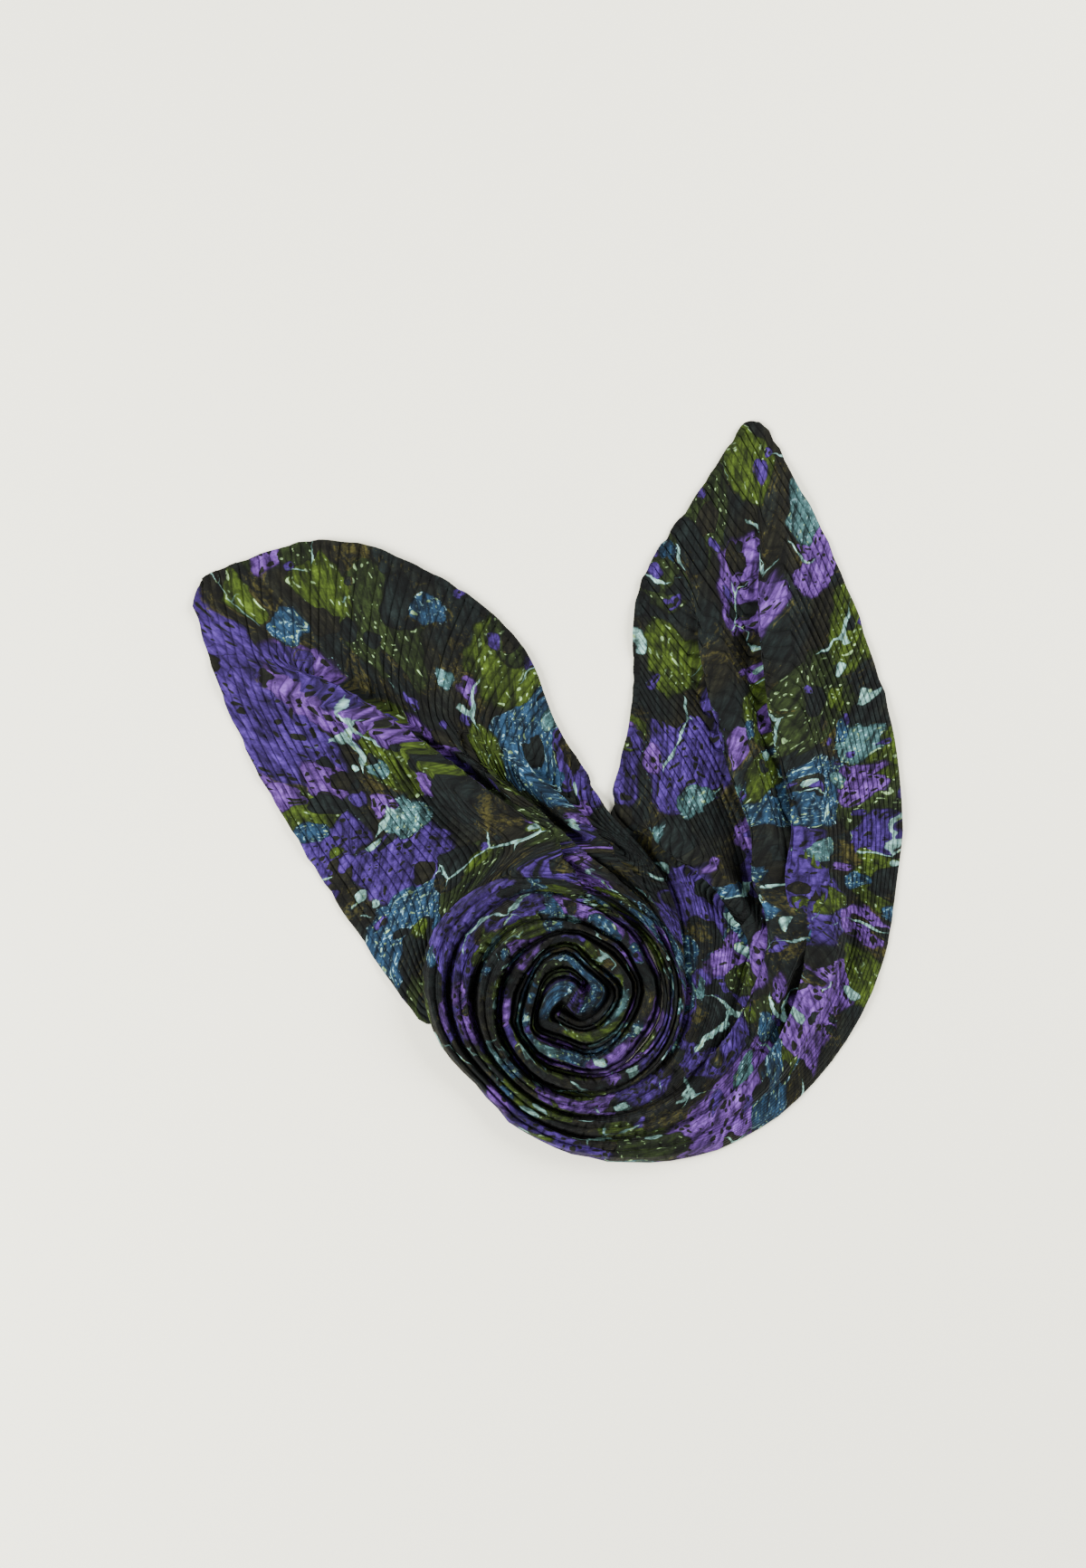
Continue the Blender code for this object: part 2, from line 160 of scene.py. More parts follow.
class Arm(Enum):
    """The two halves of the strip."""

    LEFT = "left"
    RIGHT = "right"


# Seeds of what is uneven, and the section at which the print starts to follow the strip
EDGE_SEEDS = {Arm.LEFT: 41, Arm.RIGHT: 53}
ROLL_SEEDS = {Arm.LEFT: 11, Arm.RIGHT: 29}
PLEAT_SEED = 5
PRINT_TURNS = {Arm.LEFT: 7, Arm.RIGHT: 8}


def linear(hex_colour: str) -> tuple[float, float, float, float]:
    """Turn an sRGB hex colour into linear values.

    Args:
        hex_colour: six hexadecimal digits.

    Returns:
        Red, green, blue and alpha for a node's colour socket.
    """
    parts = [int(hex_colour[k:k + 2], 16) / 255.0 for k in (0, 2, 4)]
    values = [p / 12.92 if p <= 0.04045 else ((p + 0.055) / 1.055) ** 2.4 for p in parts]
    return (values[0], values[1], values[2], 1.0)


def add_node(tree: Tree, kind: str, inputs: dict | None = None,
             **settings: object) -> bpy.types.bpy_prop_collection:
    """Add a node with its settings, and fill or link its inputs.

    Args:
        tree: the tree that takes the node.
        kind: the node's type name.
        inputs: a value or an output socket for each input's name or number.
        settings: the node's own properties.

    Returns:
        The node's outputs.
    """
    node = tree.nodes.new(kind)
    for name, value in settings.items():
        setattr(node, name, value)
    for key, value in (inputs or {}).items():
        if isinstance(value, Socket):
            tree.links.new(value, node.inputs[key])
        else:
            node.inputs[key].default_value = value
    return node.outputs


def attribute(tree: Tree, name: str) -> Socket:
    """Read one of the mesh's own attributes as a vector."""
    return add_node(tree, "ShaderNodeAttribute", attribute_name=name)["Vector"]


def maths(tree: Tree, operation: str, *values: object, clamp: bool = False) -> Socket:
    """Add a maths node.

    Args:
        tree: the material's nodes.
        operation: what the node works out.
        values: its numbers or sockets, in order.
        clamp: hold the result between 0 and 1.

    Returns:
        The result.
    """
    return add_node(tree, "ShaderNodeMath", dict(enumerate(values)), operation=operation,
                    use_clamp=clamp)[0]


def vectors(tree: Tree, operation: str, *values: object) -> Socket:
    """Add a vector maths node with its vectors or sockets in order, and return its result."""
    return add_node(tree, "ShaderNodeVectorMath", dict(enumerate(values)),
                    operation=operation)[0]


def remap(tree: Tree, value: Socket, least: float, most: float, low: float = 0.0,
          high: float = 1.0) -> Socket:
    """Map the range from least to most onto low to high, and hold the result there."""
    return add_node(tree, "ShaderNodeMapRange", {
        "Value": value, "From Min": least, "From Max": most, "To Min": low, "To Max": high})[0]


def noise(tree: Tree, place: Socket, scale: float, detail: float, **more: float) -> Socket:
    """Noise from 0 to 1 with the given scale and detail, and any more inputs by name."""
    inputs = {"Vector": place, "Scale": scale, "Detail": detail}
    inputs.update({name.title(): value for name, value in more.items()})
    return add_node(tree, "ShaderNodeTexNoise", inputs)["Fac"]


def mixed(tree: Tree, share: Socket, under: object, over: object) -> Socket:
    """Mix the share of one colour over another."""
    return add_node(tree, "ShaderNodeMix", {"Factor": share, 6: under, 7: over},
                    data_type="RGBA")[2]


def smooth(values: Array, places: Array) -> Array:
    """Catmull-Rom curve through rows of values, read at fractional row numbers.

    Args:
        values: one row for each point of the curve.
        places: row numbers, with fractions between two rows.

    Returns:
        One row of values for each place.
    """
    values = np.asarray(values, dtype=float)
    last = len(values) - 1
    padded = np.vstack([2 * values[0] - values[1], values, 2 * values[-1] - values[-2]])
    index = np.clip(np.floor(places).astype(int), 0, last - 1)
    part = (places - index).reshape((-1,) + (1,) * (values.ndim - 1))
    before, start, end, after = (padded[index + k] for k in range(4))
    return 0.5 * (2 * start + (end - before) * part
                  + (2 * before - 5 * start + 4 * end - after) * part ** 2
                  + (3 * start - 3 * end + after - before) * part ** 3)


def random_curve(random: np.random.Generator, places: Array, least: float, columns: int
                 ) -> Array:
    """Smooth curves through random heights, from least to 1, one for each whole place."""
    heights = random.uniform(least, 1.0, (int(places.max()) + 3, columns))
    return smooth(heights, places)


def ease(values: Array) -> Array:
    """Smooth step: 0 up to 0, 1 from 1, three parts square less two parts cube between."""
    values = np.clip(values, 0.0, 1.0)
    return values * values * (3.0 - 2.0 * values)


def normals(grid: Array) -> Array:
    """Unit normals of a grid of points, from the cross product of its two directions."""
    across = np.gradient(grid, axis=1)
    along = np.gradient(grid, axis=0)
    cross = np.cross(across, along)
    return cross / (np.linalg.norm(cross, axis=2, keepdims=True) + TINY)


def run_lengths(points: Array, axis: int = 0) -> Array:
    """Distance walked up to each point, along a line or along one axis of a grid."""
    steps = np.linalg.norm(np.diff(points, axis=axis), axis=-1)
    start = np.zeros_like(np.take(steps, [0], axis=axis))
    return np.concatenate([start, np.cumsum(steps, axis=axis)], axis=axis)


def running_mean(values: Array, count: int) -> Array:
    """Mean over an odd count of rows round each row, with the end rows repeated."""
    columns = np.pad(values.reshape(len(values), -1), ((count // 2,) * 2, (0, 0)), mode="edge").T
    means = [np.convolve(column, np.ones(count) / count, "valid") for column in columns]
    return np.stack(means, axis=1).reshape(values.shape)


def mesh_object(name: str, points: Array, faces: Array,
                places: dict[str, Array]) -> bpy.types.Object:
    """Put arrays of points and four-sided faces into a new smooth mesh.

    Args:
        name: the piece's name.
        points: places in metres, one row each.
        faces: four point numbers in each row.
        places: a vector for each point, by the name of its attribute.

    Returns:
        The linked object.
    """
    corners = points[faces]
    first = np.cross(corners[:, 1] - corners[:, 0], corners[:, 2] - corners[:, 0])
    second = np.cross(corners[:, 2] - corners[:, 0], corners[:, 3] - corners[:, 0])
    if (corners[:, 0] * (first + second)).sum() < 0.0:
        faces = faces[:, ::-1]
    mesh = bpy.data.meshes.new(name)
    mesh.from_pydata(points, [], faces.tolist())
    mesh.update()
    mesh.shade_smooth()
    for label, values in places.items():
        attribute = mesh.attributes.new(label, "FLOAT_VECTOR", "POINT")
        attribute.data.foreach_set("vector", np.asarray(values, dtype=np.float32).ravel())
    piece = bpy.data.objects.new(name, mesh)
    bpy.context.scene.collection.objects.link(piece)
    return piece


def grid_faces(rows: int, columns: int, start: int = 0) -> Array:
    """Four-sided faces of a grid of points that are numbered row by row.

    Args:
        rows: rows of points.
        columns: points in a row.
        start: number of the first point.

    Returns:
        Four point numbers for each cell.
    """
    number = start + np.arange(rows * columns).reshape(rows, columns)
    cells = [number[:-1, :-1], number[1:, :-1], number[1:, 1:], number[:-1, 1:]]
    return np.stack([cell.ravel() for cell in cells], axis=1)


def rim_faces(rows: int, columns: int) -> Array:
    """Faces that close a sheet between the rims of its upper and its lower grid.

    Args:
        rows: rows of points in each grid.
        columns: points in a row.

    Returns:
        Four point numbers for each face.
    """
    number = np.arange(rows * columns).reshape(rows, columns)
    loop = np.concatenate([number[0, :-1], number[:-1, -1], number[-1, :0:-1], number[:0:-1, 0]])
    after = np.roll(loop, -1)
    below = rows * columns
    return np.stack([loop, after, after + below, loop + below], axis=1)


@dataclass
class SwirlLay:
    """How the strip lies: the middle surface of the two arms before the pleats."""

    lobe_span: float = 0.520       # reference length of the lobe tables
    swirl_radius: float = 0.0754   # eye of the swirl to the line between the arms
    swirl_pitch: float = 0.0325    # how far an arm moves in with a full turn
    step: float = 24.0             # degrees between two sections in the swirl
    eye_reach: float = 0.0160      # centre to each of the two places where a side turns back
    band_gap: float = 0.0002       # space between neighbouring windings
    origin: tuple[float, float] = (0.0284, -0.1590)

    fold_height: float = 0.026     # crest of the tallest folds above the low places
    swirl_tall: float = 0.90       # fold height in the swirl as a share of that
    fold_fall: float = 1.6         # how fast the folds sink from side A towards side B
    fold_rounding: float = 0.42    # how far a crest swells sideways
    rounding_gain: float = 1.5     # how soon a rising fold gets its full swell
    roundness: float = 0.45        # 1 for a plain wave, less for a broad crest and a thin slit
    waver: float = 0.30            # how uneven the height is along a roll
    waver_rows: float = 4.0        # rows between two of its heights
    gather_start: float = 0.45     # tallness at which the folds start to become rolls
    gather_span: float = 0.35      # how much taller they are when they are rolls
    small_height: float = 0.0080   # small folds beside the main ones
    small_start: float = 0.15      # their share of that height at the hem
    small_growth: float = 0.45     # what is added over the sections of a lobe
    small_sections: float = 9.0
    calm_start: float = 1.25       # laps and billows fade out as the folds grow taller
    calm_loss: float = 1.6

    lap_points: int = 80           # places along a lap's line
    lap_fade_in: float = 16.0      # places over which a lap grows at its first end
    lap_fade_out: float = 12.0     # places over which it ends at its last end
    lap_reach: float = 0.012       # a row further from the line, in lobe spans, has no lap
    billow: float = 0.0030         # broad soft rises of the lobes

    eye_shift: tuple[float, float] = (-0.0085, 0.0030)
    eye_shift_reach: float = 0.075
    sway: float = 0.0026           # sideways wander of the windings, all of them together
    sway_start: float = 0.030      # reach from which it fades out
    sway_fade: float = 0.040
    corner: float = 0.016          # radius of the corner between the end and side B
    bulge: tuple[float, float] = (0.0085, 0.0060)
    bulge_place: float = 0.34      # share across the strip of the middle of the left end's bulge
    bulge_width: float = 0.11
    bulge_reach: float = 0.05
    frill: float = 0.0011          # how far the edges go in and out
    frill_reach: float = 0.010
    frill_side: float = 0.0075     # spacing of the frill along side B
    frill_end: float = 0.0070      # spacing of the frill along the end
    tuck: float = 0.0060           # how far side A of the right arm goes under the left arm
    edge_lift: float = 0.0035      # rise of side A of the left arm over it
    meeting_width: float = 0.035   # share of the strip that this takes up

    def polar(self, turn: float, reach: float) -> tuple[float, float]:
        """Place at a direction in degrees, clockwise from the right, and a reach."""
        angle = math.radians(turn)
        return (reach * math.cos(angle), -reach * math.sin(angle))

    def spiral(self, turn: float) -> float:
        """Reach of the line between the arms, which moves in by the pitch with each turn."""
        return self.swirl_radius - self.swirl_pitch * turn / 360.0

    def section(self, a_turn: float, a_reach: float, b_turn: float, b_reach: float) -> list[float]:
        """Five places across a section that sweeps evenly from side A to side B."""
        places = []
        for share in QUARTERS:
            turn = a_turn + share * (b_turn - a_turn)
            places.extend(self.polar(turn, a_reach + share * (b_reach - a_reach)))
        return places

    def inner_turn(self) -> float:
        """Turn of the left arm at which its side B has come in to the eye."""
        return 360.0 * (self.swirl_radius - self.eye_reach) / self.swirl_pitch - 180.0

    def turns(self, first: float, last: float) -> Array:
        """Directions after first, up to last, about one step apart."""
        count = max(2, int(round((last - first) / self.step)))
        return np.linspace(first, last, count + 1)[1:]

    def eye(self) -> list[list[float]]:
        """Sections that swing through half a turn in the eye."""
        sections = []
        first = self.inner_turn()
        for turn in self.turns(first, first + 180.0):
            outer = np.array(self.polar(turn, self.spiral(turn) - self.band_gap / 2.0))
            pivot = np.array(self.polar(first, self.eye_reach))
            inner = pivot + np.array(self.polar(turn, self.band_gap / 2.0))
            sections.append([v for share in QUARTERS for v in outer + share * (inner - outer)])
        return sections

    def sections(self, arm: Arm) -> Array:
        """Sections of one arm from its end hem to the eye.

        Args:
            arm: which arm.

        Returns:
            Rows of five places, lift and the two fold heights.
        """
        lobe = LEFT_LOBE if arm is Arm.LEFT else RIGHT_LOBE
        rows = [[self.lobe_span * v for v in row[:10]] + [0.0, row[10], row[11]] for row in lobe]
        # the left arm lies inside the line between the arms, and the right arm outside it
        side = -1.0 if arm is Arm.LEFT else 1.0
        gap = side * self.band_gap / 2.0
        tall = [0.0, self.swirl_tall, self.swirl_tall]
        last = self.inner_turn()
        if arm is Arm.LEFT:
            for a_turn, a_beyond, b_turn, b_beyond, *heights in LEFT_NECK:
                a_reach = self.spiral(a_turn) + gap + a_beyond * self.swirl_radius
                b_reach = self.spiral(b_turn + 180.0) - gap + b_beyond * self.swirl_radius
                rows.append(self.section(a_turn, a_reach, b_turn, b_reach) + [0.0] + heights)
        else:
            last += 180.0
            for a_turn, a_beyond, b_turn, b_reach, *heights in RIGHT_TURN:
                a_reach = self.spiral(a_turn) + gap + a_beyond * self.swirl_radius
                b_reach = b_reach * self.swirl_radius
                rows.append(self.section(a_turn, a_reach, b_turn, b_reach) + heights)
        for turn in self.turns(a_turn, last):
            b_reach = self.spiral(turn - side * 180.0) - gap
            rows.append(self.section(turn, self.spiral(turn) + gap, turn, b_reach) + tall)
        for places in self.eye():
            if arm is Arm.RIGHT:
                places = list(-np.array(places).reshape(5, 2)[::-1].ravel())
            rows.append(places + tall)
        return np.array(rows)

    def laps(self, arm: Arm, plain: Array, place: Array) -> tuple[Array, Array]:
        """Sideways shift and rise of the laps.

        With x the distance from a lap's line as a share of its width, the shift is less the
        overlap times the sine of half a turn of x, so that the cloth runs on, turns back and
        runs on again. The rise goes up before the line and sinks softly after it.

        Args:
            arm: which arm.
            plain: places in plan.
            place: shares across the strip.

        Returns:
            The shift as a share of the strip's width and the rise in metres.
        """
        shift = np.zeros(place.shape)
        rise = np.zeros(place.shape)
        last = self.lap_points - 1
        for row in LEFT_LAPS if arm is Arm.LEFT else RIGHT_LAPS:
            ends = self.lobe_span * np.array(row[:8]).reshape(4, 2)
            line = smooth(ends, np.linspace(0.0, 3.0, self.lap_points))
            width, overlap, height = row[8:]
            away = np.linalg.norm(plain[:, :, None, :] - line, axis=3).reshape(len(plain), -1)
            column, nearest = np.divmod(away.argmin(axis=1), self.lap_points)
            centre = running_mean(place[np.arange(len(place)), column], 7)
            strength = ease(nearest / self.lap_fade_in) * ease((last - nearest)
                                                               / self.lap_fade_out)
            strength = strength * (away.min(axis=1) < self.lobe_span * self.lap_reach)
            strength = running_mean(strength, 5)[:, None]
            x = (place - centre[:, None]) / width
            shift -= strength * overlap * np.sin(np.pi * x) * (np.abs(x) < 1.0)
            up = ease((x + 1.1) / 1.9)
            down = 1.0 - ease((x - 0.7) / 1.6)
            rise = np.maximum(rise, strength * height * up * down)
        return shift, rise

    def fold_numbers(self, even: Array) -> Array:
        """Number of the fold that each evenly spaced share lies in."""
        return np.minimum((even * len(FOLD_SHAPES)).astype(int), len(FOLD_SHAPES) - 1)

    def fold_places(self, even: Array, gathered: Array) -> tuple[Array, Array, Array]:
        """Place across the strip, width factor and height factor of each cloth point.

        Every fold has as many points as the next. Its width goes from that in the lobes to
        that in the swirl, where one fold makes the main roll of each winding.

        Args:
            even: shares of the points, evenly spaced.
            gathered: how far each row is gathered, from 0 to 1.

        Returns:
            The place, the width factor and the height factor.
        """
        lobe_width, swirl_width, swirl_height = np.array(FOLD_SHAPES).T
        folds = len(FOLD_SHAPES)
        width = lobe_width + (swirl_width - lobe_width) * gathered
        start = np.cumsum(width, axis=1) - width
        fold = self.fold_numbers(even[0])
        place = start[:, fold] + (even * folds - fold) * width[:, fold]
        height = 1.0 + (swirl_height - 1.0) * gathered
        return place, folds * width[:, fold], height[:, fold]

    def across(self, table: Array, shares: Array) -> Array:
        """Places across each section: a smooth curve through its five places."""
        return np.array([smooth(row[:10].reshape(5, 2), share * 4.0)
                         for row, share in zip(table, shares)])

    def surface(self, arm: Arm, places: Array, shares: Array) -> tuple[Array, Array, Array]:
        """Middle surface of an arm.

        The height is the fold height times the local tallness times a power of half of one
        less the cosine of the fold angle, and each crest swells sideways by the sine of twice
        that angle. A fold swells less where the strip's two directions aren't square.

        Args:
            arm: which arm.
            places: section numbers of the rows, with fractions.
            shares: places across the strip, from side A (0) to side B (1).

        Returns:
            The surface, the plain places in plan, and the tallness of the folds.
        """
        table = smooth(self.sections(arm), places)
        even = np.tile(shares, (len(places), 1))
        turn = 2.0 * np.pi * len(FOLD_SHAPES)
        angle = turn * even
        lift, tall_a, tall_b = (table[:, k:k + 1] for k in (10, 11, 12))
        gathered = ease((tall_b - self.gather_start) / self.gather_span)
        place, width, height = self.fold_places(even, gathered)
        fall = np.maximum(1.0 - place, 0.0) ** self.fold_fall
        tall = np.clip(tall_b + (tall_a - tall_b) * fall, 0.0, 1.0) * height
        tall = tall * self.uneven(arm, len(places), even)
        plain = self.across(table, place)
        along, over = np.gradient(plain, axis=0), np.gradient(plain, axis=1)
        square = np.abs(along[..., 0] * over[..., 1] - along[..., 1] * over[..., 0])
        square /= np.linalg.norm(along, axis=2) * np.linalg.norm(over, axis=2) + TINY
        swell = np.minimum(tall * self.rounding_gain, 1.0) * square * self.fold_rounding
        swell = swell * np.sin(2.0 * angle)
        shift, lap_rise = self.laps(arm, plain, place)
        calm = np.clip(self.calm_start - self.calm_loss * tall, 0.0, 1.0)
        flat = self.across(table, place + width * swell / turn + shift * calm)
        wave = (0.5 - 0.5 * np.cos(angle)) ** self.roundness
        small = ease(places / self.small_sections)[:, None]
        small = np.maximum(self.small_start + self.small_growth * small, ease(tall_b / 0.25))
        small = small * (1.0 - gathered) * np.abs(np.sin(angle)) ** 0.7
        rise = self.fold_height * (tall * wave + np.maximum(lift, 0.0)) + lap_rise * calm
        rise = rise + self.small_height * small + self.billows(plain) * calm
        flat, rise = self.meeting(arm, places, place, plain, flat, rise)
        flat = self.edges(arm, place, flat)
        return np.dstack([self.swayed(flat), rise]), plain, tall

    def billows(self, plain: Array) -> Array:
        """Broad soft rises of the lobes: the sum of three slanted sine waves, never below 0."""
        total = np.zeros(plain.shape[:2])
        for length, angle, start in BILLOWS:
            along = plain[..., 0] * math.cos(angle) + plain[..., 1] * math.sin(angle)
            total += np.sin(2.0 * np.pi * along / length + start)
        return self.billow * ease(0.5 + total / 4.0)

    def swayed(self, flat: Array) -> Array:
        """Let the windings of the swirl wander sideways, all of them together."""
        x, y = flat[..., 0], flat[..., 1]
        reach = np.hypot(x, y)
        inside = 1.0 - ease((reach - self.sway_start) / self.sway_fade)
        east = np.sin(115.0 * y + 0.8) + 0.6 * np.sin(190.0 * x + 2.0)
        north = np.sin(125.0 * x + 2.4) + 0.6 * np.sin(180.0 * y + 0.5)
        shift = 1.0 - ease(reach / self.eye_shift_reach)
        return np.dstack([x + self.sway * inside * east + self.eye_shift[0] * shift,
                          y + self.sway * inside * north + self.eye_shift[1] * shift])

    def edges(self, arm: Arm, place: Array, flat: Array) -> Array:
        """Round the corner between the end and side B, and frill both edges.

        The corner's square is pressed into a quarter disc: each of its two distances is
        multiplied by the square root of one less half the square of the other.

        Args:
            arm: which arm.
            place: shares across the strip.
            flat: places in plan.

        Returns:
            The changed places in plan.
        """
        down = run_lengths(flat)
        over = run_lengths(flat[:, ::-1], axis=1)[:, ::-1]
        row = int(np.argmax(down[:, -1] > self.corner))
        column = flat.shape[1] - 1 - int(np.argmax(over[0, ::-1] > self.corner))
        inward, aside = (point - flat[0, -1] for point in (flat[row, -1], flat[0, column]))
        inward = inward / np.linalg.norm(inward)
        aside = aside / np.linalg.norm(aside)
        a = np.clip(1.0 - down / self.corner, 0.0, 1.0)
        b = np.clip(1.0 - over / self.corner, 0.0, 1.0)
        move_in = a * (1.0 - np.sqrt(1.0 - b * b / 2.0)) * self.corner
        move_aside = b * (1.0 - np.sqrt(1.0 - a * a / 2.0)) * self.corner
        flat = flat + move_in[..., None] * inward + move_aside[..., None] * aside
        if arm is Arm.LEFT:
            here = np.exp(-((place - self.bulge_place) / self.bulge_width) ** 2)
            here = here * np.exp(-down / self.bulge_reach)
            flat = flat + here[..., None] * np.array(self.bulge)
        random = np.random.default_rng(EDGE_SEEDS[arm])
        side = random_curve(random, down[:, -1] / self.frill_side, -1.0, 1)
        end = random_curve(random, over[0] / self.frill_end, -1.0, 1)[:, 0]
        near_side = np.exp(-over / self.frill_reach) * self.frill
        near_end = np.exp(-down / self.frill_reach) * self.frill
        return (flat + (near_side * side)[..., None] * aside
                + (near_end * end[None, :])[..., None] * inward)

    def uneven(self, arm: Arm, rows: int, even: Array) -> Array:
        """Height factor that makes each roll uneven along its length.

        Args:
            arm: which arm.
            rows: number of the cloth's rows.
            even: shares of the points across.

        Returns:
            A factor round 1 for each point: a smooth curve through seeded random heights.
        """
        random = np.random.default_rng(ROLL_SEEDS[arm])
        curve = random_curve(random, np.arange(rows) / self.waver_rows, -1.0, len(FOLD_SHAPES))
        return 1.0 + self.waver * (curve[:, self.fold_numbers(even[0])] - 0.4)

    def meeting(self, arm: Arm, places: Array, place: Array, plain: Array, flat: Array,
                rise: Array) -> tuple[Array, Array]:
        """Tuck side A of the right arm under side A of the left arm, where the arms meet.

        Args:
            arm: which arm.
            places: section numbers of the rows.
            place: shares across the strip.
            plain: places in plan without folds.
            flat: places in plan with folds.
            rise: heights.

        Returns:
            The changed places in plan and heights.
        """
        end = 11.0 if arm is Arm.LEFT else 10.0
        here = ease((places + 0.6) / 1.2) * (1.0 - ease((places - end) / 3.0))
        near = np.exp(-(place / self.meeting_width) ** 2)
        if arm is Arm.LEFT:
            return flat, rise + self.edge_lift * near * here[:, None]
        out = plain[:, 0] - plain[:, 4]
        out = out / np.linalg.norm(out, axis=1)[:, None]
        moved = flat + out[:, None, :] * (self.tuck * near * here[:, None])[..., None]
        return moved, rise * (1.0 - near * here[:, None])


@dataclass
class PleatedPanel:
    """The whole cloth of the scarf: one thin closed sheet with fine pleats along it."""

    lay: SwirlLay = field(default_factory=SwirlLay)
    pleats: int = 56               # pleats across the strip
    pleat_depth: float = 0.0018    # slit below the flat top of a pleat
    pleat_slope: float = 0.35      # the depth is no more than this share of a pleat's width
    slit: float = 0.16             # width of each side of a slit as a share of a pleat
    slit_rows: float = 9.0         # rows between two of a slit's uneven depths
    wall: float = 0.0006           # thickness of the cloth
    least_rise: float = 0.0002     # the upper side stays this far above the floor
    lobe_rows: int = 8             # cloth rows from one section to the next, here and below
    right_rows: int = 6
    neck_rows: int = 4
    turn_rows: int = 3
    swirl_rows: int = 2
    print_spread: int = 14         # rows over which the lobe's print turns into the strip's
    print_rows: int = 25           # rows over which the lobe's print is evened out
    flat_width: float = 0.30
    flat_length: float = 1.80

    def row_places(self, arm: Arm) -> Array:
        """Section numbers of the cloth's rows, closer where the sections lie further apart."""
        count = len(self.lay.sections(arm))
        if arm is Arm.LEFT:
            steps = [self.lobe_rows] * len(LEFT_LOBE) + [self.neck_rows] * (len(LEFT_NECK) - 1)
        else:
            steps = [self.right_rows] * (len(RIGHT_LOBE) - 1)
            steps += [self.turn_rows] * len(RIGHT_TURN)
        steps += [self.swirl_rows] * (count - 1 - len(steps))
        return np.array([number + k / many for number, many in enumerate(steps)
                         for k in range(many)] + [count - 1.0])

    def print_places(self, plain: Array, surface: Array, turning: int) -> Array:
        """Places on the print: plan places in the lobe, and beyond it the cloth rolled out.

        In the lobe, what the folds and laps take up is added along the way from side A to side
        B. Beyond the turning row a place is that row's middle, plus the length of the middle
        line along the strip's way, plus the length of cloth across.

        Args:
            plain: places in plan, without folds.
            surface: the folded surface.
            turning: the row at which the rolled-out part starts.

        Returns:
            Two coordinates in metres for each point.
        """
        middle = plain.shape[1] // 2
        centre = plain[turning, middle]
        over = plain[turning, -1] - plain[turning, 0]
        over = over / np.linalg.norm(over)
        way = np.array([over[1], -over[0]])
        ahead = plain[turning + 1, middle] - plain[turning - 1, middle]
        if (ahead * way).sum() < 0.0:
            way = -way
        length = run_lengths(plain[:, middle])
        length -= length[turning]
        cloth = run_lengths(surface, axis=1)
        side = plain[:, -1] - plain[:, 0]
        side = side / np.linalg.norm(side, axis=1)[:, None]
        # evened out along the strip, so that the print isn't sheared beside a lap
        taken = running_mean(cloth - run_lengths(plain, axis=1), self.print_rows)
        lobe = plain + taken[..., None] * side[:, None, :]
        strip = (centre + way * length[:, None, None]
                 + over * (cloth - cloth[:, middle:middle + 1])[..., None])
        blend = ease((np.arange(len(plain)) - turning + self.print_spread)
                     / (2.0 * self.print_spread))[:, None, None]
        return (1.0 - blend) * lobe + blend * strip

    def build(self) -> dict[str, Array]:
        """Work out the cloth's surface, its place on the print and its place on the pleats.

        Each pleat is a flat top between two narrow slits: its points are a slit's bottom and
        the two rims of the top.

        Returns:
            Arrays by name: surface, print and strip, each row by row from the left hem.
        """
        start = np.arange(self.pleats)[:, None] + np.array([0.0, self.slit, 1.0 - self.slit])
        shares = np.append(start.ravel(), self.pleats) / self.pleats
        fold = self.lay.fold_numbers(shares)
        parts = {"surface": [], "print": [], "strip": []}
        for arm, turning in PRINT_TURNS.items():
            places = self.row_places(arm)
            surface, plain, tall = self.lay.surface(arm, places, shares)
            printed = self.print_places(plain, surface, int(np.searchsorted(places, turning)))
            printed = np.dstack([printed, np.zeros(printed.shape[:2])])
            # each fold has one length along it, so that gathers cross it squarely
            step = np.linalg.norm(np.gradient(surface, axis=0), axis=2)
            step = np.stack([step[:, fold == number].mean(axis=1)
                             for number in range(len(FOLD_SHAPES))], axis=1)[:, fold]
            strip = np.dstack([np.tile(shares * self.pleats, (len(places), 1)),
                               np.cumsum(step, axis=0), tall])
            # the right arm runs back from the eye, and the row in the eye is kept once
            rows = slice(None, None, -1) if arm is Arm.RIGHT else slice(None, -1)
            for name, values in zip(parts, (surface, printed, strip)):
                parts[name].append(values[rows])
        arrays = {name: np.vstack(values) for name, values in parts.items()}
        surface = arrays["surface"]
        surface[..., :2] += self.lay.origin
        cloth = np.linalg.norm(np.diff(surface, axis=1), axis=2).sum(axis=1, keepdims=True)
        depth = np.minimum(self.pleat_depth, self.pleat_slope * cloth / self.pleats)
        random = np.random.default_rng(PLEAT_SEED)
        share = random_curve(random, np.arange(len(surface)) / self.slit_rows, 0.25,
                             self.pleats + 1)
        share[:, [0, -1]] = 0.0
        pleat = np.zeros(surface.shape[:2])
        pleat[:, ::3] = np.clip(share, 0.0, 1.0)
        surface[..., 2] += self.wall / 2.0 + 0.6 * depth
        surface -= normals(surface) * (depth * pleat)[..., None]
        return arrays

